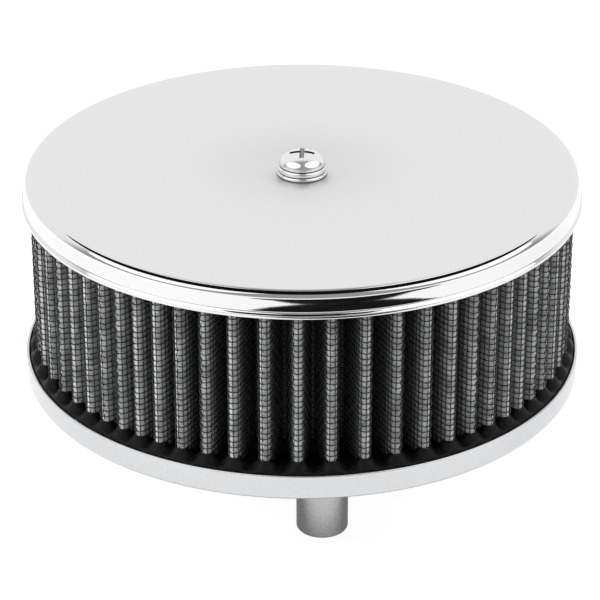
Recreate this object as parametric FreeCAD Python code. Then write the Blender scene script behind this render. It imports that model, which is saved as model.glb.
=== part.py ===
import FreeCAD
import Part
import math
import os

# Round air cleaner: a chromed lid and base pan clamp a pleated gauze element between them.
# Millimetres, +Z up. The origin is the middle of the neck's bottom rim, on which the cleaner stands.

# Sheet steel shells
sheet = 0.8                  # wall of the lid and the base pan
body_height = 57.0           # underside of the base to the top of the lid
lid_radius = 72.2            # outside of the lid's skirt
lid_edge_bevel = 1.3         # outside bevel between the lid's top and skirt
dish_radius = 14.0           # middle of the lid that dips towards the screw
dish_depth = 1.8             # dip at the flat seat under the screw's washers
skirt_depth = 7.3            # top of the lid to the bottom of its hem
hem_height = 1.1             # flared edge at the bottom of the skirt
hem_flare = 0.6              # how far the hem stands out past the skirt
lip_stand_out = 1.1          # base lip outside the lid's skirt
lip_height = 7.0             # base underside to the top of its lip
base_edge_bevel = 1.3        # outside bevel between the base's floor and lip

# Neck that clamps on the carburettor
neck_bore_radius = 26.2
neck_wall = 1.2
neck_drop = 25.4             # neck below the base's underside
neck_flange_width = 5.0      # flange that sits on the base's floor
slot_count = 4               # slots that let the neck close under the clamp
slot_width = 2.5
slot_height = 13.5

# Breather nipple
nipple_radius = 6.6
nipple_wall = 1.2
nipple_drop = 21.8           # nipple below the base's underside
nipple_shoulder = 0.5        # step that rests against the base's underside
nipple_stand_up = 1.0        # nipple above the base's floor, where it is brazed

# Filter element
pleat_count = 62
pleat_depth = 13.0
pleat_bunches = 4            # places around the ring where the pleats crowd
pleat_bunching = 0.18        # share by which the pitch grows and shrinks
pack_thickness = 1.6         # gauze with the wire screen that is folded along with it
fold_gap = 0.2               # half the gap left between the two sides of a fold
crest_bevel = 0.7            # bevel where the pack turns over a crest
end_ring_height = 6.2        # moulded rings that hold the ends of the pleats
end_ring_overlap = 1.5       # rings inside the pleats

# Bridge welded inside the base, which the lid screw pulls against
bridge_thickness = 2.0
bridge_width = 16.0
bridge_gap = 13.4            # underside of the lid to the top of the bridge
bridge_top_length = 30.0
bridge_bend = 4.0            # bend on the upper side of the strap
bridge_foot_length = 14.0

# Lid screw, its washers and the nut under the bridge
screw_radius = 3.0
screw_length = 22.6          # under the head
screw_head_radius = 5.95
screw_head_height = 3.6
screw_head_bevel = 1.2       # bevel of the pan head's upper edge
recess_length = 6.8          # cross recess, from tip to tip at the top
recess_floor_length = 2.6
recess_width = 1.2
recess_depth = 2.2
lock_washer_radius = 6.4
lock_washer_thickness = 1.4
lock_washer_split = 0.8
lock_washer_slant = 20.0     # slant of the split, degrees
flat_washer_radius = 6.6
flat_washer_thickness = 1.0
nut_width = 10.0             # across the flats
nut_height = 5.0

# Clamp around the neck
band_thickness = 0.8
band_width = 10.0
band_lift = 1.5              # neck's bottom rim to the lower edge of the band
ear_length = 11.0            # ears outside the band
ear_gap = 6.0
ear_corner = 2.5
clamp_screw_radius = 2.5
clamp_head_radius = 4.2
clamp_head_height = 3.2
clamp_slot_width = 1.2
clamp_slot_depth = 1.4
clamp_nut_width = 8.0
clamp_nut_height = 4.0
clamp_screw_spare = 3.0      # screw past its nut

# Clearances
seat_clearance = 0.4         # flat washer inside its seat on the lid
hole_clearance = 0.3         # screw in a washer, in the lid or in the bridge
thread_clearance = 0.05      # plain hole that stands for a thread
tube_clearance = 0.05        # neck or nipple in its hole, band on the neck
ring_clearance = 0.1         # end rings inside the lid and the base
pleat_clearance = 0.5        # pleats inside the lid's skirt
foot_clearance = 1.5         # bridge's feet outside the neck's flange
nipple_clearance = 0.5       # nipple inside the lower end ring

# Levels and radii that follow from them
base_z = neck_drop
floor_z = base_z + sheet
lip_z = base_z + lip_height
lid_z = base_z + body_height
ceiling_z = lid_z - sheet
hem_z = lid_z - skirt_depth
lower_ring_z = floor_z + end_ring_height
upper_ring_z = ceiling_z - end_ring_height
seat_z = lid_z - dish_depth
lock_washer_z = seat_z + flat_washer_thickness
screw_head_z = lock_washer_z + lock_washer_thickness
bridge_z = ceiling_z - bridge_gap
bridge_foot_z = floor_z + bridge_thickness

base_radius = lid_radius + lip_stand_out
lid_bore_radius = lid_radius - sheet
base_bore_radius = base_radius - sheet
upper_ring_radius = lid_bore_radius - ring_clearance
lower_ring_radius = base_bore_radius - ring_clearance
pleat_radius = lid_bore_radius - pleat_clearance
pleat_inner_radius = pleat_radius - pleat_depth
end_ring_bore = pleat_inner_radius - end_ring_overlap
neck_radius = neck_bore_radius + neck_wall
neck_flange_radius = neck_radius + neck_flange_width
nipple_y = -(end_ring_bore - nipple_clearance - nipple_radius)
nipple_spigot_radius = nipple_radius - nipple_shoulder
screw_hole_radius = screw_radius + hole_clearance
seat_radius = flat_washer_radius + seat_clearance
bridge_foot_x = neck_flange_radius + foot_clearance
band_bore_radius = neck_radius + tube_clearance
band_radius = band_bore_radius + band_thickness
clamp_screw_y = band_radius + ear_length / 2
clamp_screw_z = band_lift + band_width / 2

axis = FreeCAD.Vector(0, 0, 1)
origin = FreeCAD.Vector(0, 0, 0)


def section(u, v):
    """Point of a section drawn in the XZ plane."""
    return FreeCAD.Vector(u, 0, v)


def side(u, v):
    """Point of an outline drawn in the YZ plane."""
    return FreeCAD.Vector(0, u, v)


def bent_points(corners, place):
    """Start, middle and end of the bend at each corner (u, v, radius). A sharp corner has one point."""
    points = [FreeCAD.Vector(u, v, 0) for u, v, radius in corners]
    bends = []
    for i, (u, v, radius) in enumerate(corners):
        here = points[i]
        back = (points[i - 1] - here).normalize()
        ahead = (points[(i + 1) % len(points)] - here).normalize()
        bend = [here]
        if radius > 0:
            half_angle = back.getAngle(ahead) / 2
            reach = radius / math.tan(half_angle)
            middle = (back + ahead).normalize() * (radius / math.sin(half_angle) - radius)
            bend = [here + back * reach, here + middle, here + ahead * reach]
        bends.append([place(point.x, point.y) for point in bend])
    return bends


def bent_face(corners, place):
    """Face inside an outline whose corners are rounded by arcs."""
    bends = bent_points(corners, place)
    edges = []
    for i, bend in enumerate(bends):
        edges.append(Part.LineSegment(bends[i - 1][-1], bend[0]).toShape())
        if len(bend) > 1:
            edges.append(Part.Arc(*bend).toShape())
    return Part.Face(Part.Wire(edges))


def flat_face(corners, place):
    """Face inside an outline whose corners are cut by a flat from the start to the end of each bend."""
    points = [point for bend in bent_points(corners, place) for point in bend[::2]]
    return Part.Face(Part.makePolygon(points + points[:1]))


def sheet_corners(path, thickness, sharp_inside):
    """Corners of a bent sheet's section: out along the path, then back along its right-hand side."""
    other_side = []
    for i, (u, v, radius) in enumerate(path):
        here = FreeCAD.Vector(u, v, 0)
        legs = []
        if i > 0:
            legs.append(here - FreeCAD.Vector(*path[i - 1][:2], 0))
        if i < len(path) - 1:
            legs.append(FreeCAD.Vector(*path[i + 1][:2], 0) - here)
        normals = [FreeCAD.Vector(leg.y, -leg.x, 0).normalize() for leg in legs]
        first, last = normals[0], normals[-1]
        shift = (first + last) * (thickness / (1 + first.dot(last)))
        turns_right = legs[0].cross(legs[-1]).z < 0
        bend = 0
        if radius > 0 and not sharp_inside:
            bend = radius - thickness if turns_right else radius + thickness
        other_side.append((u + shift.x, v + shift.y, bend))
    return path + other_side[::-1]


def turned(corners):
    """Solid of revolution about Z from a section's corners."""
    return flat_face(corners, section).revolve(origin, axis, 360)


def cylinder(radius, bottom, top, x=0, y=0):
    return Part.makeCylinder(radius, top - bottom, FreeCAD.Vector(x, y, bottom))


def box(x_from, x_to, y_from, y_to, z_from, z_to):
    corner = FreeCAD.Vector(x_from, y_from, z_from)
    return Part.makeBox(x_to - x_from, y_to - y_from, z_to - z_from, corner)


def washer(bore, radius, bottom, thickness):
    return cylinder(radius, bottom, bottom + thickness).cut(cylinder(bore, bottom, bottom + thickness))


def hex_nut(width, height, bore):
    """Hexagon nut standing on z = 0."""
    corner_radius = width / 2 / math.cos(math.pi / 6)
    corners = []
    for i in range(7):
        turn = math.pi / 3 * i
        corners.append(FreeCAD.Vector(corner_radius * math.cos(turn), corner_radius * math.sin(turn), 0))
    prism = Part.Face(Part.makePolygon(corners)).extrude(axis * height)
    return prism.cut(cylinder(bore, 0, height))


def make_lid():
    path = [
        (screw_hole_radius, seat_z, 0),
        (seat_radius, seat_z, 0),
        (dish_radius, lid_z, 0),
        (lid_radius, lid_z, lid_edge_bevel),
        (lid_radius, hem_z, 0),
    ]
    corners = sheet_corners(path, sheet, True)
    # The hem is folded on itself, so it stands out while the wall inside stays straight
    hem = [(lid_radius, hem_z + hem_height, 0), (lid_radius + hem_flare, hem_z, 0)]
    return turned(corners[:len(path) - 1] + hem + corners[len(path):])


def make_base_pan():
    neck_hole = neck_radius + tube_clearance
    path = [
        (base_radius, lip_z, 0),
        (base_radius, base_z, base_edge_bevel),
        (neck_hole, base_z, 0),
    ]
    pan = turned(sheet_corners(path, sheet, True))
    return pan.cut(cylinder(nipple_spigot_radius + tube_clearance, base_z, floor_z, 0, nipple_y))


def make_neck_tube():
    flange_z = floor_z + neck_wall
    tube = turned([
        (neck_bore_radius, 0, 0),
        (neck_radius, 0, 0),
        (neck_radius, floor_z, 0),
        (neck_flange_radius, floor_z, 0),
        (neck_flange_radius, flange_z, 0),
        (neck_bore_radius, flange_z, 0),
    ])
    slot = box(0, neck_flange_radius, -slot_width / 2, slot_width / 2, 0, slot_height)
    for i in range(slot_count):
        tube = tube.cut(slot.rotated(origin, axis, (i + 0.5) * 360 / slot_count))
    return tube


def make_breather_nipple():
    tip_z = base_z - nipple_drop
    end_z = floor_z + nipple_stand_up
    bore = nipple_radius - nipple_wall
    tube = turned([
        (bore, tip_z, 0),
        (nipple_radius, tip_z, 0),
        (nipple_radius, base_z, 0),
        (nipple_spigot_radius, base_z, 0),
        (nipple_spigot_radius, end_z, 0),
        (bore, end_z, 0),
    ])
    return tube.translated(FreeCAD.Vector(0, nipple_y, 0))


def crest_angles():
    """Angle of each crest, from the one over the nipple. The pitch shrinks in the bunches."""
    front = -math.pi / 2
    angles = []
    for i in range(pleat_count + 1):
        even = 2 * math.pi * i / pleat_count
        shift = pleat_bunching / pleat_bunches * math.sin(pleat_bunches * even)
        angles.append(front + even + shift)
    return angles


def pleat_wire(level, bevel):
    """Closed zigzag outline of the pack at a level above its inner face."""
    def fold(angle, tip, half_width, bevel):
        if bevel > 0:
            outline = [(tip - bevel, -half_width), (tip, bevel - half_width)]
        else:
            outline = [(tip, -half_width)]
        outline += [(radius, -sideways) for radius, sideways in outline[::-1]]
        for radius, sideways in outline:
            x = radius * math.cos(angle) - sideways * math.sin(angle)
            y = radius * math.sin(angle) + sideways * math.cos(angle)
            points.append(FreeCAD.Vector(x, y, lower_ring_z))

    points = []
    sunk = pack_thickness - level
    crests = crest_angles()
    for crest, next_crest in zip(crests, crests[1:]):
        fold(crest, pleat_radius - sunk, fold_gap + level, bevel)
        fold((crest + next_crest) / 2, pleat_inner_radius + level, fold_gap + sunk, 0)
    return Part.makePolygon(points + points[:1])


def make_pleated_gauze():
    outside = Part.Face(pleat_wire(pack_thickness, crest_bevel))
    pack = outside.cut(Part.Face(pleat_wire(0, 0))).Faces[0]
    return pack.extrude(axis * (upper_ring_z - lower_ring_z))


def make_bridge_strap():
    top_x = bridge_top_length / 2
    foot_end = bridge_foot_x + bridge_foot_length
    half = [
        (top_x, bridge_z, bridge_bend),
        (bridge_foot_x, bridge_foot_z, bridge_bend),
        (foot_end, bridge_foot_z, 0),
    ]
    path = [(-x, z, bend) for x, z, bend in half[::-1]] + half
    profile = bent_face(sheet_corners(path, bridge_thickness, False), section)
    profile.translate(FreeCAD.Vector(0, bridge_width / 2, 0))
    strap = profile.extrude(FreeCAD.Vector(0, -bridge_width, 0))
    return strap.cut(cylinder(screw_hole_radius, bridge_z - bridge_thickness, bridge_z))


def make_bridge_nut():
    nut = hex_nut(nut_width, nut_height, screw_radius + thread_clearance)
    return nut.translated(axis * (bridge_z - bridge_thickness - nut_height))


def make_lid_screw():
    head_top = screw_head_z + screw_head_height
    screw = turned([
        (0, screw_head_z - screw_length, 0),
        (screw_radius, screw_head_z - screw_length, 0),
        (screw_radius, screw_head_z, 0),
        (screw_head_radius, screw_head_z, 0),
        (screw_head_radius, head_top, screw_head_bevel),
        (0, head_top, 0),
    ])
    wing = flat_face([
        (-recess_floor_length / 2, head_top - recess_depth, 0),
        (recess_floor_length / 2, head_top - recess_depth, 0),
        (recess_length / 2, head_top, 0),
        (-recess_length / 2, head_top, 0),
    ], section)
    wing.translate(FreeCAD.Vector(0, -recess_width / 2, 0))
    wing = wing.extrude(FreeCAD.Vector(0, recess_width, 0))
    return screw.cut(wing).cut(wing.rotated(origin, axis, 90))


def make_lock_washer():
    ring = washer(screw_hole_radius, lock_washer_radius, lock_washer_z, lock_washer_thickness)
    half = lock_washer_split / 2
    reach = lock_washer_thickness
    split = box(0, 2 * lock_washer_radius, -half, half, lock_washer_z - reach, screw_head_z + reach)
    pivot = FreeCAD.Vector(0, 0, lock_washer_z + lock_washer_thickness / 2)
    return ring.cut(split.rotated(pivot, FreeCAD.Vector(1, 0, 0), lock_washer_slant))


def make_clamp_band():
    top = band_lift + band_width
    band = washer(band_bore_radius, band_radius, band_lift, band_width)
    band = band.cut(box(-ear_gap / 2, ear_gap / 2, 0, 2 * band_radius, band_lift, top))
    root_y = math.sqrt(band_bore_radius ** 2 - (ear_gap / 2) ** 2)
    tip_y = band_radius + ear_length
    plate = bent_face([
        (root_y, band_lift, 0),
        (tip_y, band_lift, ear_corner),
        (tip_y, top, ear_corner),
        (root_y, top, 0),
    ], side)
    for x, outward in ((ear_gap / 2, 1), (-ear_gap / 2, -1)):
        ear = plate.translated(FreeCAD.Vector(x, 0, 0))
        band = band.fuse(ear.extrude(FreeCAD.Vector(outward * band_thickness, 0, 0)))
    reach = ear_gap
    hole = cylinder(clamp_screw_radius + hole_clearance, -reach, reach)
    return band.cut(across_ears(hole, 0)).removeSplitter()


def across_ears(shape, x):
    """Lays a shape that stands on the Z axis along the line through the clamp's ears, its z = 0 at x."""
    lying = shape.rotated(origin, FreeCAD.Vector(0, 1, 0), 90)
    return lying.translated(FreeCAD.Vector(x, clamp_screw_y, clamp_screw_z))


def make_clamp_screw():
    half_grip = ear_gap / 2 + band_thickness
    shank_length = 2 * half_grip + clamp_nut_height + clamp_screw_spare
    screw = turned([
        (0, -shank_length, 0),
        (clamp_screw_radius, -shank_length, 0),
        (clamp_screw_radius, 0, 0),
        (clamp_head_radius, 0, 0),
        (clamp_head_radius, clamp_head_height, 0),
        (0, clamp_head_height, 0),
    ])
    half = clamp_slot_width / 2
    floor = clamp_head_height - clamp_slot_depth
    slot = box(-clamp_head_radius, clamp_head_radius, -half, half, floor, clamp_head_height)
    return across_ears(screw.cut(slot), half_grip)


def make_clamp_nut():
    nut = hex_nut(clamp_nut_width, clamp_nut_height, clamp_screw_radius + thread_clearance)
    return across_ears(nut, -ear_gap / 2 - band_thickness - clamp_nut_height)


pieces = {
    "lid": make_lid(),
    "lid_screw": make_lid_screw(),
    "lock_washer": make_lock_washer(),
    "flat_washer": washer(screw_hole_radius, flat_washer_radius, seat_z, flat_washer_thickness),
    "upper_end_ring": washer(end_ring_bore, upper_ring_radius, upper_ring_z, end_ring_height),
    "lower_end_ring": washer(end_ring_bore, lower_ring_radius, floor_z, end_ring_height),
    "pleated_gauze": make_pleated_gauze(),
    "base_pan": make_base_pan(),
    "neck_tube": make_neck_tube(),
    "breather_nipple": make_breather_nipple(),
    "bridge_strap": make_bridge_strap(),
    "bridge_nut": make_bridge_nut(),
    "clamp_band": make_clamp_band(),
    "clamp_screw": make_clamp_screw(),
    "clamp_nut": make_clamp_nut(),
}

os.makedirs("parts", exist_ok=True)
for name, shape in pieces.items():
    shape.exportStep(f"parts/{name}.step")
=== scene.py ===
import bpy
import math
import numpy as np
from mathutils import Matrix, Vector, kdtree


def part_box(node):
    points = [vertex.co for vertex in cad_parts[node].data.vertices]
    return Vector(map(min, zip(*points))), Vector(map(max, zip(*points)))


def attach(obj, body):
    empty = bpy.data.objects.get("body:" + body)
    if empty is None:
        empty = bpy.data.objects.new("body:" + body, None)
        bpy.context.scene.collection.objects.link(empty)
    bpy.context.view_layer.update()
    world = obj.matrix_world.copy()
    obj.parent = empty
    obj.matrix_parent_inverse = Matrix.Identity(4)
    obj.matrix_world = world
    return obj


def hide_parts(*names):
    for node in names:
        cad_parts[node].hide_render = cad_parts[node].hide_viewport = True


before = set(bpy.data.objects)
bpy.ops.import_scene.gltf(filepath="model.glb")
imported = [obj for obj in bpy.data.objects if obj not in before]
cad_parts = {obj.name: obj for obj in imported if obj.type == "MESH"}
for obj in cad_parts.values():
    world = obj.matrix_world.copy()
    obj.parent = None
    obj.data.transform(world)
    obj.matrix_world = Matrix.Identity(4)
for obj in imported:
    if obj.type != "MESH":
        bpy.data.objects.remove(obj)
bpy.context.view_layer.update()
mm = 0.001

# Sizes that repeat the part's own
sheet = 0.8 * mm
hem_flare = 0.6 * mm
pleat_count = 62
pleat_depth = 13.0 * mm
pleat_bunches = 4
pleat_bunching = 0.18
pleat_clearance = 0.5 * mm
pack_thickness = 1.6 * mm
fold_gap = 0.2 * mm
dish_radius = 14.0 * mm
seat_clearance = 0.4 * mm
screw_radius = 3.0 * mm
thread_pitch = 1.0 * mm
hole_clearance = 0.3 * mm
neck_radius = 27.4 * mm
tube_clearance = 0.05 * mm
nipple_wall = 1.2 * mm
nipple_shoulder = 0.5 * mm

# Places read from the frame
lid_low, lid_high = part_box("lid")
base_low, base_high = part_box("base_pan")
gauze_low, gauze_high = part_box("pleated_gauze")
lower_ring_low, lower_ring_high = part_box("lower_end_ring")
nipple_low, nipple_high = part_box("breather_nipple")
screw_low, screw_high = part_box("lid_screw")
lock_low, lock_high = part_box("lock_washer")
flat_low, flat_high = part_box("flat_washer")
lid_top = lid_high[2]
hem_z = lid_low[2]
hem_radius = lid_high[0]
lid_radius = hem_radius - hem_flare
base_radius = base_high[0]
base_z = base_low[2]
floor_z = base_z + sheet
lip_z = base_high[2]
gauze_bottom = gauze_low[2]
gauze_top = gauze_high[2]
pleat_radius = lid_radius - sheet - pleat_clearance
pleat_inner_radius = pleat_radius - pleat_depth
screw_hole_radius = screw_radius + hole_clearance
seat_z = flat_low[2]
seat_radius = flat_high[0] + seat_clearance

# Wire screen over the gauze
wire_radius = 0.15 * mm
wire_column_pitch = 1.45 * mm
wire_row_pitch = 1.54 * mm

# Fineness of the meshes
arc_step = math.radians(9)
least_arc_steps = 3
sharp_angle = 40                     # degrees between two faces that meet in a sharp edge
shell_segments = 288
small_segments = 96
hole_segments = 48

# Camera, fitted to the photograph's outlines
photo_width = 600
camera_distance = 725 * mm           # from the middle of the lid's top
camera_azimuth = math.radians(-6.0)
camera_elevation = math.radians(24.2)
focal_pixels = 2793
lid_centre_row = 166.4               # pixel row of the middle of the lid's top
lid_centre_column = 302.0
sensor_width = 36.0


# Mesh helpers

def rounded(corners):
    """Closed outline from corners (r, z, bend), each bend drawn as an arc of that radius."""
    points = [Vector((r, z)) for r, z, bend in corners]
    outline = []
    for i, (r, z, bend) in enumerate(corners):
        here = points[i]
        if bend == 0:
            outline.append((r, z))
            continue
        back = (points[i - 1] - here).normalized()
        ahead = (points[(i + 1) % len(points)] - here).normalized()
        half_angle = back.angle(ahead) / 2
        bisector = (back + ahead).normalized()
        centre = here + bisector * (bend / math.sin(half_angle))
        start = here + back * (bend / math.tan(half_angle)) - centre
        turn = math.pi - 2 * half_angle
        if start.cross(-bisector) < 0:
            turn = -turn
        steps = max(least_arc_steps, math.ceil(abs(turn) / arc_step))
        for k in range(steps + 1):
            spoke = Matrix.Rotation(turn * k / steps, 2) @ start
            outline.append(tuple(centre + spoke))
    return outline


def oval(x, y, wide, deep, count):
    """Flat outline of an oval about (x, y), with its reach along each axis."""
    outline = []
    for k in range(count):
        turn = 2 * math.pi * k / count
        outline.append((x + wide * math.cos(turn), y + deep * math.sin(turn)))
    return outline


def new_mesh(name, points, faces, sharp=sharp_angle):
    """Smooth mesh with sharp edges where its faces meet at more than an angle."""
    mesh = bpy.data.meshes.new(name)
    mesh.from_pydata([tuple(p) for p in points], [], faces)
    mesh.update()
    mesh.shade_smooth()
    mesh.set_sharp_from_angle(angle=math.radians(sharp))
    return mesh


def lathe(name, outline, segments=shell_segments):
    """Closed solid turned about Z from a closed outline of (r, z). Points on the axis become poles."""
    steps = zip(outline, outline[1:] + outline[:1])
    area = sum(r * z_next - r_next * z for (r, z), (r_next, z_next) in steps)
    if area > 0:
        outline = outline[::-1]
    points = []
    rings = []
    for r, z in outline:
        count = segments if r > 0 else 1
        rings.append(list(range(len(points), len(points) + count)))
        for k in range(count):
            turn = 2 * math.pi * k / count
            points.append((r * math.cos(turn), r * math.sin(turn), z))
    faces = []
    for i, ring in enumerate(rings):
        after = rings[(i + 1) % len(rings)]
        if len(ring) == 1 and len(after) == 1:
            continue
        for k in range(segments):
            n = (k + 1) % segments
            if len(ring) == 1:
                faces.append((ring[0], after[k], after[n]))
            elif len(after) == 1:
                faces.append((ring[k], after[0], ring[n]))
            else:
                faces.append((ring[k], after[k], after[n], ring[n]))
    return new_mesh(name, points, faces)


def prism(name, outline, bottom, top):
    """Closed straight prism over a flat outline of (x, y)."""
    count = len(outline)
    points = [(x, y, bottom) for x, y in outline] + [(x, y, top) for x, y in outline]
    faces = [tuple(range(count))[::-1], tuple(range(count, 2 * count))]
    for k in range(count):
        n = (k + 1) % count
        faces.append((k, n, count + n, count + k))
    return new_mesh(name, points, faces)


def add_piece(name, mesh, material, slot, *nodes):
    """Puts a mesh in the scene as a piece of the object that stands for CAD nodes."""
    piece = bpy.data.objects.new(name, mesh)
    bpy.context.scene.collection.objects.link(piece)
    mesh.materials.clear()
    mesh.materials.append(material)
    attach(piece, "root")
    if nodes:
        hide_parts(*nodes)
    return piece


def carve(piece, *tools):
    """Cuts tool meshes out of a piece for good."""
    for tool in tools:
        cutter = bpy.data.objects.new("cutter", tool)
        bpy.context.scene.collection.objects.link(cutter)
        cut = piece.modifiers.new("cut", "BOOLEAN")
        cut.operation = "DIFFERENCE"
        cut.solver = "EXACT"
        cut.object = cutter
        bpy.context.view_layer.update()
        ready = piece.evaluated_get(bpy.context.evaluated_depsgraph_get())
        carved = bpy.data.meshes.new_from_object(ready)
        piece.modifiers.clear()
        piece.data = carved
        bpy.data.objects.remove(cutter)
    piece.data.shade_smooth()
    piece.data.set_sharp_from_angle(angle=math.radians(sharp_angle))


# Material helpers

def new_material(name):
    """New material, with its nodes, its links and its main shader."""
    material = bpy.data.materials.new(name)
    material.use_nodes = True
    nodes = material.node_tree.nodes
    shader = nodes["Principled BSDF"]
    return material, nodes, material.node_tree.links, shader


def grey(value):
    return (value, value, value)


def object_noise(nodes, links, scale, detail=3.0, stretch=(1, 1, 1)):
    """Noise fixed to the object, with scale in features per metre, times stretch along each axis."""
    place = nodes.new("ShaderNodeTexCoord")
    squeeze = nodes.new("ShaderNodeVectorMath")
    squeeze.operation = "MULTIPLY"
    squeeze.inputs[1].default_value = stretch
    noise = nodes.new("ShaderNodeTexNoise")
    noise.inputs["Scale"].default_value = scale
    noise.inputs["Detail"].default_value = detail
    links.new(place.outputs["Object"], squeeze.inputs[0])
    links.new(squeeze.outputs["Vector"], noise.inputs["Vector"])
    return noise.outputs["Fac"]


def distance_from_axis(nodes, links):
    """Distance from the part's upright axis."""
    place = nodes.new("ShaderNodeTexCoord")
    across = nodes.new("ShaderNodeVectorMath")
    across.operation = "MULTIPLY"
    across.inputs[1].default_value = (1, 1, 0)
    links.new(place.outputs["Object"], across.inputs[0])
    distance = nodes.new("ShaderNodeVectorMath")
    distance.operation = "LENGTH"
    links.new(across.outputs["Vector"], distance.inputs[0])
    return distance.outputs["Value"]


def ramp(nodes, links, factor, stops):
    """Colour ramp over a factor from (position, colour) stops."""
    node = nodes.new("ShaderNodeValToRGB")
    elements = node.color_ramp.elements
    while len(elements) < len(stops):
        elements.new(0.5)
    for element, (position, colour) in zip(elements, stops):
        element.position = position
        element.color = (*colour, 1)
    links.new(factor, node.inputs["Fac"])
    return node.outputs["Color"]


def blend(nodes, links, factor, plain, socket):
    """Goes from a plain colour at factor 0 to a socket's colour at factor 1."""
    mix = nodes.new("ShaderNodeMix")
    mix.data_type = "RGBA"
    mix.inputs["A"].default_value = (*plain, 1)
    links.new(factor, mix.inputs["Factor"])
    links.new(socket, mix.inputs["B"])
    return mix.outputs["Result"]


def larger(nodes, links, first, second):
    """The larger of two values."""
    node = nodes.new("ShaderNodeMath")
    node.operation = "MAXIMUM"
    links.new(first, node.inputs[0])
    links.new(second, node.inputs[1])
    return node.outputs["Value"]


def add_bump(nodes, links, shader, height, distance):
    bump = nodes.new("ShaderNodeBump")
    bump.inputs["Distance"].default_value = distance
    bump.inputs["Strength"].default_value = 1.0
    links.new(height, bump.inputs["Height"])
    links.new(bump.outputs["Normal"], shader.inputs["Normal"])


def crease_shade_factor(nodes, links):
    """Painted shade for creases: 1 on open metal, falling towards 0 down in a crease, where the colour is
    darkened to stand in for the shade there.
    """
    crease = nodes.new("ShaderNodeAmbientOcclusion")
    crease.samples = 8
    crease.inputs["Distance"].default_value = 0.9 * mm
    return ramp(nodes, links, crease.outputs["AO"], [(0.30, grey(0.0)), (0.78, grey(1.0))])


# Materials

def metal(name, light, dark, smooth, rough, grain, bump_height, stretch=(1, 1, 1)):
    """Metal whose tone and roughness wander with a grain of features per metre, and whose colour is darkened
    in creases as painted shade.
    """
    material, nodes, links, shader = new_material(name)
    shader.inputs["Metallic"].default_value = 1.0
    noise = object_noise(nodes, links, grain, stretch=stretch)
    tone = ramp(nodes, links, noise, [(0.3, dark), (0.7, light)])
    # painted shade: the colour falls to near black down in creases
    crease_shaded_tone = blend(nodes, links, crease_shade_factor(nodes, links), grey(0.02), tone)
    links.new(crease_shaded_tone, shader.inputs["Base Color"])
    roughness = ramp(nodes, links, noise, [(0.3, grey(smooth)), (0.7, grey(rough))])
    links.new(roughness, shader.inputs["Roughness"])
    add_bump(nodes, links, shader, noise, bump_height)
    return material


def make_lid_chrome():
    """Chrome that is a little hazy on the lid's top and sharp on its rolled edge and skirt."""
    material, nodes, links, shader = new_material("lid_chrome")
    shader.inputs["Metallic"].default_value = 1.0
    noise = object_noise(nodes, links, 2200)
    tone = ramp(nodes, links, noise, [(0.3, (0.765, 0.77, 0.77)), (0.7, (0.79, 0.79, 0.78))])
    links.new(tone, shader.inputs["Base Color"])
    part_way = nodes.new("ShaderNodeMath")
    part_way.operation = "DIVIDE"
    part_way.inputs[1].default_value = lid_radius
    links.new(distance_from_axis(nodes, links), part_way.inputs[0])
    haze = [
        (0.18, grey(0.46)),
        (0.40, grey(0.28)),
        (0.80, grey(0.19)),
        (0.94, grey(0.15)),
        (0.965, grey(0.05)),
    ]
    links.new(ramp(nodes, links, part_way.outputs["Value"], haze), shader.inputs["Roughness"])
    add_bump(nodes, links, shader, noise, 0.002 * mm)
    return material


def make_rubber():
    """Black moulded rubber, uneven like a casting."""
    material, nodes, links, shader = new_material("potting_rubber")
    noise = object_noise(nodes, links, 700, detail=5.0)
    tone = ramp(nodes, links, noise, [(0.3, grey(0.004)), (0.75, grey(0.012))])
    links.new(tone, shader.inputs["Base Color"])
    roughness = ramp(nodes, links, noise, [(0.3, grey(0.34)), (0.7, grey(0.52))])
    links.new(roughness, shader.inputs["Roughness"])
    shader.inputs["Specular IOR Level"].default_value = 0.12
    add_bump(nodes, links, shader, noise, 0.06 * mm)
    return material


def make_gauze_material():
    """Pale cotton with a fine thread texture, with painted shade darkening it down in the valleys."""
    # painted shade: valley is the colour the cotton falls to deep in the pleats, away from the crests
    valley = (0.125, 0.13, 0.127)
    dark_depth = 6 * mm
    pale_depth = 1 * mm
    material, nodes, links, shader = new_material("gauze")
    cloud = object_noise(nodes, links, 260, detail=4.0)
    threads = object_noise(nodes, links, 3400, detail=2.0)
    mixed = nodes.new("ShaderNodeMath")
    mixed.operation = "MULTIPLY_ADD"
    mixed.inputs[1].default_value = 0.6
    links.new(threads, mixed.inputs[0])
    links.new(cloud, mixed.inputs[2])
    cotton = [(0.60, (0.36, 0.37, 0.36)), (0.98, (0.90, 0.91, 0.89))]
    tone = ramp(nodes, links, mixed.outputs["Value"], cotton)
    crest = nodes.new("ShaderNodeMapRange")
    crest.interpolation_type = "SMOOTHSTEP"
    crest.inputs["From Min"].default_value = pleat_radius - dark_depth
    crest.inputs["From Max"].default_value = pleat_radius - pale_depth
    links.new(distance_from_axis(nodes, links), crest.inputs["Value"])
    # painted shade: blends from the valley colour deep in the pleats to the cotton at the crests
    shaded = blend(nodes, links, crest.outputs["Result"], valley, tone)
    links.new(shaded, shader.inputs["Base Color"])
    shader.inputs["Roughness"].default_value = 0.85
    add_bump(nodes, links, shader, threads, 0.10 * mm)
    return material


def make_wire_material():
    """Dark enamelled wire with a slight gloss."""
    material, nodes, links, shader = new_material("screen_wire")
    noise = object_noise(nodes, links, 900)
    enamel = [(0.3, (0.012, 0.014, 0.013)), (0.75, (0.035, 0.04, 0.037))]
    links.new(ramp(nodes, links, noise, enamel), shader.inputs["Base Color"])
    shader.inputs["Roughness"].default_value = 0.32
    return material


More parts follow.
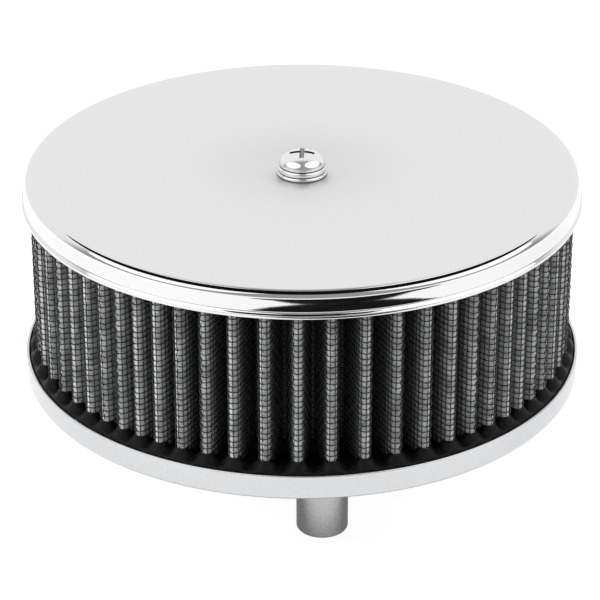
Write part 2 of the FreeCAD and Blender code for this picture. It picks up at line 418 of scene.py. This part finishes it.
lid_chrome = make_lid_chrome()
base_chrome = metal(
    "base_chrome",
    light=(0.66, 0.665, 0.675),
    dark=(0.61, 0.615, 0.63),
    smooth=0.16,
    rough=0.24,
    grain=1500,
    bump_height=0.002 * mm,
)
screw_chrome = metal(
    "screw_chrome",
    light=(0.86, 0.86, 0.85),
    dark=(0.78, 0.78, 0.77),
    smooth=0.05,
    rough=0.09,
    grain=2500,
    bump_height=0.002 * mm,
)
plain_steel = metal(
    "plain_steel",
    light=(0.50, 0.50, 0.495),
    dark=(0.40, 0.405, 0.405),
    smooth=0.24,
    rough=0.34,
    grain=3600,
    bump_height=0.002 * mm,
    stretch=(0.5, 0.5, 1),
)
bridge_steel = metal(
    "bridge_steel",
    light=(0.52, 0.52, 0.50),
    dark=(0.42, 0.42, 0.41),
    smooth=0.30,
    rough=0.38,
    grain=400,
    bump_height=0.001 * mm,
)
clamp_steel = metal(
    "clamp_steel",
    light=(0.60, 0.60, 0.58),
    dark=(0.36, 0.365, 0.36),
    smooth=0.16,
    rough=0.26,
    grain=2200,
    bump_height=0.002 * mm,
    stretch=(0.06, 0.06, 1),
)
potting_rubber = make_rubber()
gauze_cloth = make_gauze_material()
screen_wire = make_wire_material()


# Shells and nipple

def make_lid():
    """Lid with a dish for the washers, a middle that rises a little, a rolled edge and a beaded hem."""
    rise = 0.3 * mm
    rise_inner_radius = 34 * mm
    rise_outer_radius = 60 * mm
    rise_bend = 1300 * mm
    seat_bend = 6 * mm
    dish_bend = 20 * mm
    edge_roll = 2.4 * mm
    edge_roll_inside = 0.8 * mm
    waist = 0.15 * mm
    waist_drop = 4.2 * mm
    waist_bend = 20 * mm
    bead_start = 1.5 * mm
    bead_start_bend = 0.8 * mm
    bead_height = 0.9 * mm
    bead_top_bend = 0.4 * mm
    bead_foot_bend = 0.35 * mm
    bead_inner_bend = 0.3 * mm
    inside = lid_radius - sheet
    outline = rounded([
        (screw_hole_radius, seat_z, 0),
        (seat_radius, seat_z, seat_bend),
        (dish_radius, lid_top + rise, dish_bend),
        (rise_inner_radius, lid_top + rise, rise_bend),
        (rise_outer_radius, lid_top, rise_bend),
        (lid_radius, lid_top, edge_roll),
        (lid_radius - waist, lid_top - waist_drop, waist_bend),
        (lid_radius - waist / 2, hem_z + bead_start, bead_start_bend),
        (hem_radius, hem_z + bead_height, bead_top_bend),
        (hem_radius, hem_z, bead_foot_bend),
        (inside, hem_z, bead_inner_bend),
        (inside, lid_top - sheet, edge_roll_inside),
        (dish_radius, lid_top - sheet, dish_bend),
        (seat_radius, seat_z - sheet, seat_bend),
        (screw_hole_radius, seat_z - sheet, 0),
    ])
    add_piece("lid_shell", lathe("lid_shell", outline), lid_chrome, "lid_chrome", "lid")


def nipple_axis():
    """Place and radius of the breather nipple."""
    x = (nipple_low[0] + nipple_high[0]) / 2
    y = (nipple_low[1] + nipple_high[1]) / 2
    return x, y, (nipple_high[0] - nipple_low[0]) / 2


def make_base():
    """Pan with a lip around the filter, open at the neck and at the nipple."""
    neck_hole = neck_radius + tube_clearance
    lip_bend = 0.3 * mm
    corner_bend = 1.8 * mm
    corner_bend_inside = 0.9 * mm
    outline = rounded([
        (base_radius - sheet, lip_z, lip_bend),
        (base_radius, lip_z, lip_bend),
        (base_radius, base_z, corner_bend),
        (neck_hole, base_z, 0),
        (neck_hole, floor_z, 0),
        (base_radius - sheet, floor_z, corner_bend_inside),
    ])
    pan = add_piece("base_shell", lathe("base_shell", outline), base_chrome, "base_chrome", "base_pan")
    x, y, radius = nipple_axis()
    hole_radius = radius - nipple_shoulder + tube_clearance
    hole = oval(x, y, hole_radius, hole_radius, hole_segments)
    carve(pan, prism("nipple_hole", hole, base_z - sheet, floor_z + sheet))


def make_nipple():
    """Tube with a rounded mouth and a shoulder that rests against the pan from below."""
    mouth_bend = 0.9 * mm
    mouth_bend_inside = 0.25 * mm
    edge_bend = 0.2 * mm
    x, y, radius = nipple_axis()
    bore = radius - nipple_wall
    spigot = radius - nipple_shoulder
    outline = rounded([
        (bore, nipple_low[2], mouth_bend_inside),
        (radius, nipple_low[2], mouth_bend),
        (radius, base_z, edge_bend),
        (spigot, base_z, 0),
        (spigot, nipple_high[2], edge_bend),
        (bore, nipple_high[2], edge_bend),
    ])
    mesh = lathe("nipple", outline, small_segments)
    mesh.transform(Matrix.Translation((x, y, 0)))
    add_piece("nipple", mesh, plain_steel, "plain_steel", "breather_nipple")


# Pleated element

def pleat_path():
    """Points and outward normals along the middle of the folded pack, as it runs around the ring."""
    half = fold_gap + pack_thickness / 2
    inset = fold_gap + pack_thickness
    crest_steps = 9
    valley_steps = 7
    crests = []
    for i in range(pleat_count + 1):
        even = 2 * math.pi * i / pleat_count
        bunching = pleat_bunching / pleat_bunches * math.sin(pleat_bunches * even)
        crests.append(-math.pi / 2 + even + bunching)
    valleys = [(crest + after) / 2 for crest, after in zip(crests, crests[1:])]

    def centre(radius, angle):
        return np.array([radius * math.cos(angle), radius * math.sin(angle)])

    def flank_normal(crest, valley, side):
        """Direction of the flank's outer face between a crest's and a valley's bend."""
        run = valley - crest
        length = np.linalg.norm(run)
        along = run / length
        across = np.array([-along[1], along[0]]) * side
        lean = 2 * half / length
        return along * lean + across * math.sqrt(1 - lean * lean)

    points = []
    normals = []

    def bend(middle, first, last, sign, steps):
        """Arc about a bend's middle, with its normal turning from first to last through the outside."""
        outward = middle / np.linalg.norm(middle)
        sideways = np.array([-outward[1], outward[0]])
        first_turn = math.atan2(sideways @ first, outward @ first)
        last_turn = math.atan2(sideways @ last, outward @ last)
        for turn in np.linspace(first_turn, last_turn, steps):
            normal = math.cos(turn) * outward + math.sin(turn) * sideways
            points.append(middle + sign * half * normal)
            normals.append(normal)

    for i in range(pleat_count):
        crest = centre(pleat_radius - inset, crests[i])
        before = centre(pleat_inner_radius + inset, valleys[i - 1])
        valley = centre(pleat_inner_radius + inset, valleys[i])
        after = centre(pleat_radius - inset, crests[i + 1])
        left = flank_normal(crest, before, 1)
        right = flank_normal(crest, valley, -1)
        bend(crest, left, right, 1, crest_steps)
        bend(valley, right, flank_normal(after, valley, 1), -1, valley_steps)
    return np.array(points), np.array(normals)


path_points, path_normals = pleat_path()


def at_level(level):
    """The pack's outline at a level above its inner face."""
    return path_points + (level - pack_thickness / 2) * path_normals


def make_gauze():
    """Folded cotton under the screen, from end ring to end ring."""
    inner = at_level(0.15 * mm)
    outer = at_level(pack_thickness - 4 * wire_radius)
    count = len(inner)
    loops = ((outer, gauze_bottom), (outer, gauze_top), (inner, gauze_top), (inner, gauze_bottom))
    points = []
    for loop, z in loops:
        points += [(x, y, z) for x, y in loop]
    faces = []
    for i in range(len(loops)):
        here = i * count
        there = (i + 1) % len(loops) * count
        for k in range(count):
            n = (k + 1) % count
            faces.append((here + k, here + n, there + n, there + k))
    mesh = new_mesh("gauze", points, faces, sharp=60)
    add_piece("gauze", mesh, gauze_cloth, "gauze", "pleated_gauze")


def spread_along(level, pitch):
    """Evenly spaced points with normals on the pack's outline at a level, and those halfway between.
    Their number is even, so that over and under alternate all around."""
    loop = at_level(level)
    closed = np.vstack([loop, loop[:1]])
    turned = np.vstack([path_normals, path_normals[:1]])
    lengths = np.concatenate([[0], np.cumsum(np.linalg.norm(np.diff(closed, axis=0), axis=1))])
    count = 2 * round(lengths[-1] / pitch / 2)

    def sample(distance):
        points = np.stack([np.interp(distance, lengths, closed[:, k]) for k in (0, 1)], axis=1)
        normals = np.stack([np.interp(distance, lengths, turned[:, k]) for k in (0, 1)], axis=1)
        return points, normals / np.linalg.norm(normals, axis=1, keepdims=True)

    even = np.arange(count) * lengths[-1] / count
    return sample(even), sample(even + lengths[-1] / count / 2)


def wire_mesh(name, centres, first, second, closed):
    """Three-sided wires. centres is wires x points x 3, and first and second span each cross section."""
    wires, count = centres.shape[:2]
    corners = []
    for turn in (0, 2 * math.pi / 3, 4 * math.pi / 3):
        corners.append(centres + wire_radius * (math.cos(turn) * first + math.sin(turn) * second))
    points = np.stack(corners, axis=2).reshape(-1, 3)
    index = np.arange(wires * count * 3).reshape(wires, count, 3)
    start = index if closed else index[:, :-1]
    end = np.roll(index, -1, axis=1) if closed else index[:, 1:]
    sides = [start, np.roll(start, -1, axis=2), np.roll(end, -1, axis=2), end]
    faces = np.stack(sides, axis=3).reshape(-1, 4).tolist()
    if not closed:
        faces += index[:, 0, ::-1].tolist() + index[:, -1].tolist()
    mesh = bpy.data.meshes.new(name)
    mesh.from_pydata(points.tolist(), [], faces)
    mesh.update()
    mesh.shade_smooth()
    return mesh


def make_screen():
    """Woven screen on the outside of the gauze: columns stand up the pleats and rows run around them."""
    level = pack_thickness - 2 * wire_radius
    straight = math.cos(math.radians(12))
    (points, normals), (mid_points, mid_normals) = spread_along(level, wire_column_pitch)
    columns = len(points)
    height = gauze_top - gauze_bottom
    rows = round(height / wire_row_pitch)
    heights = gauze_bottom + (np.arange(rows) + 0.5) * height / rows
    turns = (np.arange(columns)[:, None] + np.arange(rows)) % 2
    over = np.where(turns == 0, 1.0, -1.0) * wire_radius

    # Columns, from end ring to end ring
    stations = np.concatenate([[gauze_bottom], heights, [gauze_top]])
    lift = np.pad(over, ((0, 0), (1, 1)))
    flat = points[:, None, :] + lift[:, :, None] * normals[:, None, :]
    tall = np.broadcast_to(stations[None, :, None], (columns, rows + 2, 1))
    normal = np.broadcast_to(np.pad(normals, ((0, 0), (0, 1)))[:, None, :], (columns, rows + 2, 3))
    tangent = np.stack([-normal[..., 1], normal[..., 0], np.zeros((columns, rows + 2))], axis=2)
    mesh = wire_mesh("screen_columns", np.concatenate([flat, tall], axis=2), normal, tangent, False)
    add_piece("screen_columns", mesh, screen_wire, "gauze")

    # Rows, with a point on each column and one between two columns where the path bends
    bent = (normals * np.roll(normals, -1, axis=0)).sum(axis=1) < straight
    order = np.argsort(np.concatenate([np.arange(columns), np.nonzero(bent)[0] + 0.5]), kind="stable")
    loop = np.concatenate([points, mid_points[bent]])[order]
    outward = np.concatenate([normals, mid_normals[bent]])[order]
    dip = np.concatenate([-over, np.zeros((bent.sum(), rows))])[order]
    halves = {
        "screen_rows_lower": np.arange(rows // 2),
        "screen_rows_upper": np.arange(rows // 2, rows),
    }
    for name, half in halves.items():
        flat = loop[None, :, :] + dip[:, half].T[:, :, None] * outward[None, :, :]
        tall = np.broadcast_to(heights[half][:, None, None], (len(half), len(loop), 1))
        normal = np.broadcast_to(np.pad(outward, ((0, 0), (0, 1)))[None], (len(half), len(loop), 3))
        downward = np.broadcast_to(np.array([0.0, 0.0, -1.0]), normal.shape)
        mesh = wire_mesh(name, np.concatenate([flat, tall], axis=2), normal, downward, True)
        add_piece(name, mesh, screen_wire, "gauze")


def make_lower_ring():
    """Moulded ring whose top climbs a little where it wets the pleats."""
    around = 16 * pleat_count
    outer = lower_ring_high[0]
    inner = pleat_inner_radius - 1.5 * mm
    top = lower_ring_high[2]
    bottom = lower_ring_low[2]
    climb = 2.4 * mm
    climb_fade = 1.0 * mm
    edge = 0.8 * mm
    first_edge_turn = 0.26
    tree = kdtree.KDTree(len(path_points))
    for i, (x, y) in enumerate(path_points):
        tree.insert((x, y, 0), i)
    tree.balance()
    flat_radii = np.linspace(inner, outer - edge, 24)
    edge_radii = outer - edge + edge * np.sin(np.linspace(first_edge_turn, math.pi / 2, 5))
    radii = np.concatenate([flat_radii, edge_radii])
    points = []
    for r in radii:
        sunk = edge - math.sqrt(max(edge ** 2 - max(r - outer + edge, 0) ** 2, 0))
        for x, y in oval(0, 0, r, r, around):
            clear = max(tree.find((x, y, 0))[2] - pack_thickness / 2, 0)
            points.append((x, y, top - sunk + climb * math.exp(-clear / climb_fade)))
    for r in (outer, inner):
        points += [(x, y, bottom) for x, y in oval(0, 0, r, r, around)]
    loops = len(radii) + 2
    faces = []
    for i in range(loops):
        here = i * around
        there = (i + 1) % loops * around
        for k in range(around):
            n = (k + 1) % around
            faces.append((here + k, there + k, there + n, here + n))
    mesh = new_mesh("lower_ring", points, faces, sharp=50)
    add_piece("lower_ring", mesh, potting_rubber, "potting_rubber", "lower_end_ring")


# Screw and washers

def make_screw():
    """Screw with a domed head, a cross recess and a threaded shank."""
    head_radius = screw_high[0]
    head_top = screw_high[2]
    head_z = lock_high[2]
    neck_z = head_z - 2 * thread_pitch
    rim_z = head_z + 0.7 * mm
    rim_bend = 0.4 * mm
    dome_steps = 16
    recess_turn = math.radians(-8)
    outline = rounded([
        (0, neck_z, 0),
        (screw_radius, neck_z, 0),
        (screw_radius, head_z, 0),
        (head_radius, head_z, rim_bend),
        (head_radius, rim_z, 0),
    ])
    for k in range(1, dome_steps):
        rise = math.pi / 2 * k / dome_steps
        outline.append((head_radius * math.cos(rise), rim_z + (head_top - rim_z) * math.sin(rise)))
    outline.append((0, head_top))
    screw = add_piece("screw", lathe("screw", outline, 128), screw_chrome, "screw_chrome", "lid_screw")
    carve(screw, cross_wing(recess_turn, head_top), cross_wing(recess_turn + math.pi / 2, head_top))
    add_piece("screw_thread", thread("screw_thread", screw_low[2], neck_z), screw_chrome, "screw_chrome")


def cross_wing(turn, top):
    """One bar of the cross recess, tapering towards its floor."""
    top_reach = 3.9 * mm
    floor_reach = 1.2 * mm
    deep = 2.2 * mm
    half = 0.6 * mm
    over = 0.5 * mm
    points = []
    for z, reach in ((top - deep, floor_reach), (top + over, top_reach + over)):
        points += [(-reach, -half, z), (reach, -half, z), (reach, half, z), (-reach, half, z)]
    faces = [(3, 2, 1, 0), (4, 5, 6, 7), (0, 1, 5, 4), (1, 2, 6, 5), (2, 3, 7, 6), (3, 0, 4, 7)]
    mesh = new_mesh("cross_wing", points, faces)
    mesh.transform(Matrix.Rotation(turn, 4, "Z"))
    return mesh


def thread(name, bottom, top):
    """Threaded rod: the radius rises and falls along a helix, and fades out at the tip."""
    around = 48
    levels_per_turn = 8
    deep = 0.45 * mm
    lead_in = 1.5 * thread_pitch
    levels = round((top - bottom) / thread_pitch * levels_per_turn)
    points = [(0, 0, bottom)]
    for i in range(levels + 1):
        z = bottom + (top - bottom) * i / levels
        full = min(1, (z - bottom) / lead_in)
        for k in range(around):
            phase = (z / thread_pitch - k / around) % 1
            r = screw_radius - deep * max(abs(2 * phase - 1), 1 - full)
            turn = 2 * math.pi * k / around
            points.append((r * math.cos(turn), r * math.sin(turn), z))
    points.append((0, 0, top))
    tip = 0
    end = len(points) - 1
    last = 1 + levels * around
    faces = []
    for k in range(around):
        n = (k + 1) % around
        faces.append((tip, 1 + n, 1 + k))
        for i in range(levels):
            low = 1 + i * around
            high = low + around
            faces.append((low + k, low + n, high + n, high + k))
        faces.append((end, last + k, last + n))
    return new_mesh(name, points, faces)


def make_flat_washer():
    radius = flat_high[0]
    foot_bend = 0.3 * mm
    top_bend = 0.5 * mm
    hole_bend = 0.15 * mm
    outline = rounded([
        (screw_hole_radius, flat_low[2], hole_bend),
        (radius, flat_low[2], foot_bend),
        (radius, flat_high[2], top_bend),
        (screw_hole_radius, flat_high[2], hole_bend),
    ])
    mesh = lathe("plain_washer", outline, small_segments)
    add_piece("plain_washer", mesh, screw_chrome, "screw_chrome", "flat_washer")


def make_lock_washer():
    """Spring washer, open at a slanted split."""
    split = 0.8 * mm
    slant = math.tan(math.radians(20))
    edge_bend = 0.55 * mm
    section = rounded([
        (screw_hole_radius, lock_low[2], edge_bend),
        (lock_high[1], lock_low[2], edge_bend),
        (lock_high[1], lock_high[2], edge_bend),
        (screw_hole_radius, lock_high[2], edge_bend),
    ])
    middle = (lock_low[2] + lock_high[2]) / 2
    steps = small_segments
    count = len(section)
    points = []
    for k in range(steps + 1):
        for r, z in section:
            lean = slant * (z - middle) / r
            gap = split / r / 2
            turn = gap - lean + (2 * math.pi - 2 * gap) * k / steps
            points.append((r * math.cos(turn), r * math.sin(turn), z))
    faces = [tuple(range(count)), tuple(range(steps * count, (steps + 1) * count))[::-1]]
    for k in range(steps):
        here = k * count
        there = here + count
        for i in range(count):
            n = (i + 1) % count
            faces.append((here + i, there + i, there + n, here + n))
    mesh = new_mesh("split_washer", points, faces)
    add_piece("split_washer", mesh, screw_chrome, "screw_chrome", "lock_washer")


# Studio

def seen_directly(nodes, links):
    """1 for what the camera sees, also by way of metal or glass."""
    path = nodes.new("ShaderNodeLightPath")
    mirrored = larger(nodes, links, path.outputs["Is Camera Ray"], path.outputs["Is Glossy Ray"])
    return larger(nodes, links, mirrored, path.outputs["Is Transmission Ray"])


def make_floor():
    """White floor with a faint shadow, which sends less light up to the part than it seems to."""
    reach = 6.0
    corners = [(-reach, -reach, 0), (reach, -reach, 0), (reach, reach, 0), (-reach, reach, 0)]
    mesh = new_mesh("floor", corners, [(0, 1, 2, 3)])
    floor = bpy.data.objects.new("floor", mesh)
    bpy.context.scene.collection.objects.link(floor)
    material = bpy.data.materials.new("floor")
    material.use_nodes = True
    nodes = material.node_tree.nodes
    links = material.node_tree.links
    nodes.clear()
    lighting = nodes.new("ShaderNodeBsdfDiffuse")
    lighting.inputs["Color"].default_value = (0.6, 0.6, 0.6, 1)
    shadowed = nodes.new("ShaderNodeBsdfDiffuse")
    shadowed.inputs["Color"].default_value = (0.45, 0.45, 0.45, 1)
    white = nodes.new("ShaderNodeEmission")
    white.inputs["Strength"].default_value = 0.82
    seen = nodes.new("ShaderNodeAddShader")
    links.new(shadowed.outputs[0], seen.inputs[0])
    links.new(white.outputs[0], seen.inputs[1])
    choose = nodes.new("ShaderNodeMixShader")
    links.new(seen_directly(nodes, links), choose.inputs["Fac"])
    links.new(lighting.outputs[0], choose.inputs[1])
    links.new(seen.outputs[0], choose.inputs[2])
    out = nodes.new("ShaderNodeOutputMaterial")
    links.new(choose.outputs[0], out.inputs["Surface"])
    mesh.materials.append(material)


def add_card(name, mesh, cover):
    """Dull black card that only the chrome sees: black where the socket that cover builds is 1."""
    material, nodes, links, shader = new_material(name)
    noise = object_noise(nodes, links, 30)
    tone = ramp(nodes, links, noise, [(0.3, grey(0.008)), (0.7, grey(0.02))])
    links.new(tone, shader.inputs["Base Color"])
    shader.inputs["Roughness"].default_value = 0.9
    shader.inputs["Specular IOR Level"].default_value = 0.0
    links.new(cover(nodes, links), shader.inputs["Alpha"])
    mesh.materials.append(material)
    card = bpy.data.objects.new(name, mesh)
    bpy.context.scene.collection.objects.link(card)
    card.visible_camera = False
    card.visible_diffuse = False
    card.visible_shadow = False


def make_floor_card(name, x, y, wide, deep, edge, darkness):
    """Oval on the floor, dark as far as its edge, a share of its reach, and fading beyond."""
    bottom = 0.5 * mm
    top = 1.5 * mm

    def cover(nodes, links):
        place = nodes.new("ShaderNodeTexCoord")
        unit = nodes.new("ShaderNodeMapping")
        unit.vector_type = "TEXTURE"
        unit.inputs["Location"].default_value = (x, y, 0)
        unit.inputs["Scale"].default_value = (wide, deep, 1)
        links.new(place.outputs["Object"], unit.inputs["Vector"])
        reach = nodes.new("ShaderNodeVectorMath")
        reach.operation = "LENGTH"
        links.new(unit.outputs["Vector"], reach.inputs[0])
        return ramp(nodes, links, reach.outputs["Value"], [(edge, grey(darkness)), (1.0, grey(0.0))])

    add_card(name, prism(name, oval(x, y, wide, deep, 64), bottom, top), cover)


def make_edge_card():
    """Ring over the lid's edge, mirrored by its roll: only metal that is close to the ring sees it."""
    near = lid_radius + 1 * mm
    far = lid_radius + 24 * mm
    reach = 23 * mm
    bottom = lid_top + 14 * mm
    top = lid_top + 15 * mm

    def cover(nodes, links):
        path = nodes.new("ShaderNodeLightPath")
        close = nodes.new("ShaderNodeMath")
        close.operation = "LESS_THAN"
        close.inputs[1].default_value = reach
        links.new(path.outputs["Ray Length"], close.inputs[0])
        return close.outputs["Value"]

    ring = [(near, top), (far, top), (far, bottom), (near, bottom)]
    add_card("edge_card", lathe("edge_card", ring, small_segments), cover)


def make_world():
    """White room, grey in front but for two soft boxes there, as the chrome shows it."""
    world = bpy.data.worlds.new("studio")
    bpy.context.scene.world = world
    world.use_nodes = True
    nodes = world.node_tree.nodes
    links = world.node_tree.links
    nodes.clear()
    lighting = nodes.new("ShaderNodeBackground")
    lighting.inputs["Color"].default_value = (0.98, 0.99, 1.0, 1)
    lighting.inputs["Strength"].default_value = 0.42
    place = nodes.new("ShaderNodeTexCoord")

    def towards(azimuth, elevation, inner, outer, bright, dark=0.0):
        """Brightness of the room around a direction: bright within the inner angle, dark beyond the outer.
        The angles are in degrees."""
        a = math.radians(azimuth)
        e = math.radians(elevation)
        facing = nodes.new("ShaderNodeVectorMath")
        facing.operation = "DOT_PRODUCT"
        facing.inputs[1].default_value = (math.sin(a) * math.cos(e), -math.cos(a) * math.cos(e), math.sin(e))
        links.new(place.outputs["Generated"], facing.inputs[0])
        spot = nodes.new("ShaderNodeMapRange")
        spot.interpolation_type = "SMOOTHSTEP"
        spot.inputs["From Min"].default_value = math.cos(math.radians(outer))
        spot.inputs["From Max"].default_value = math.cos(math.radians(inner))
        spot.inputs["To Min"].default_value = dark
        spot.inputs["To Max"].default_value = bright
        links.new(facing.outputs["Value"], spot.inputs["Value"])
        return spot.outputs["Result"]

    left_box = towards(azimuth=-68, elevation=44, inner=33, outer=36, bright=1.35)
    right_box = towards(azimuth=68, elevation=44, inner=33, outer=36, bright=1.35)
    walls = towards(azimuth=180, elevation=5, inner=60, outer=80, bright=1.0, dark=0.36)
    boxes = larger(nodes, links, left_box, right_box)
    room = nodes.new("ShaderNodeBackground")
    links.new(larger(nodes, links, walls, boxes), room.inputs["Color"])
    backdrop = nodes.new("ShaderNodeBackground")
    backdrop.inputs["Color"].default_value = (1, 1, 1, 1)
    path = nodes.new("ShaderNodeLightPath")
    mirrored = nodes.new("ShaderNodeMixShader")
    links.new(path.outputs["Is Glossy Ray"], mirrored.inputs["Fac"])
    links.new(lighting.outputs[0], mirrored.inputs[1])
    links.new(room.outputs[0], mirrored.inputs[2])
    choose = nodes.new("ShaderNodeMixShader")
    links.new(path.outputs["Is Camera Ray"], choose.inputs["Fac"])
    links.new(mirrored.outputs[0], choose.inputs[1])
    links.new(backdrop.outputs[0], choose.inputs[2])
    out = nodes.new("ShaderNodeOutputWorld")
    links.new(choose.outputs[0], out.inputs["Surface"])


def add_lamp(name, power, size, place):
    """Soft square lamp that looks at the middle of the filter, unseen in the chrome."""
    data = bpy.data.lights.new(name, "AREA")
    data.energy = power
    data.size = size
    lamp = bpy.data.objects.new(name, data)
    target = Vector((0, 0, (gauze_bottom + gauze_top) / 2))
    lamp.location = place
    lamp.rotation_euler = (target - lamp.location).to_track_quat("-Z", "Y").to_euler()
    lamp.visible_glossy = False
    bpy.context.scene.collection.objects.link(lamp)


def make_camera():
    """Camera that sees the part as the photograph does."""
    data = bpy.data.cameras.new("camera")
    data.sensor_width = sensor_width
    data.lens = focal_pixels * sensor_width / photo_width
    data.clip_start = 0.01
    data.shift_x = (photo_width / 2 - lid_centre_column) / photo_width
    camera = bpy.data.objects.new("camera", data)
    lid_centre = Vector((0, 0, lid_top))
    outward = Vector((
        math.sin(camera_azimuth) * math.cos(camera_elevation),
        -math.cos(camera_azimuth) * math.cos(camera_elevation),
        math.sin(camera_elevation),
    ))
    camera.location = lid_centre + outward * camera_distance
    pitch = camera_elevation + math.atan((photo_width / 2 - lid_centre_row) / focal_pixels)
    camera.rotation_euler = (math.pi / 2 - pitch, 0, camera_azimuth)
    bpy.context.scene.collection.objects.link(camera)
    bpy.context.scene.camera = camera


make_camera()
make_floor()
make_world()
make_floor_card(
    "floor_card", x=70 * mm, y=-310 * mm, wide=205 * mm, deep=124 * mm, edge=0.92, darkness=1.0,
)
# painted shadow: a dark disc under the part, where its shadow lies on the floor, seen only in the metal's
# reflections
make_floor_card(
    "shade_card", x=0, y=0, wide=base_radius, deep=base_radius, edge=0.75, darkness=0.45,
)
make_edge_card()
add_lamp("key", power=9.5, size=0.5, place=(-1.15, -0.12, 0.50))
add_lamp("fill", power=5.5, size=0.6, place=(1.15, -0.12, 0.50))
add_lamp("back", power=3.0, size=0.8, place=(0.20, 1.05, 0.60))

make_lid()
make_base()
make_nipple()
make_gauze()
make_screen()
make_lower_ring()
make_screw()
make_flat_washer()
make_lock_washer()

# Finishes of the CAD solids that are shown as they are
finishes = {
    "upper_end_ring": potting_rubber,
    "neck_tube": plain_steel,
    "bridge_strap": bridge_steel,
    "bridge_nut": bridge_steel,
    "clamp_band": clamp_steel,
    "clamp_screw": clamp_steel,
    "clamp_nut": clamp_steel,
}
for node, material in finishes.items():
    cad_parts[node].material_slots[0].material = material

bpy.context.scene.view_settings.view_transform = "Standard"
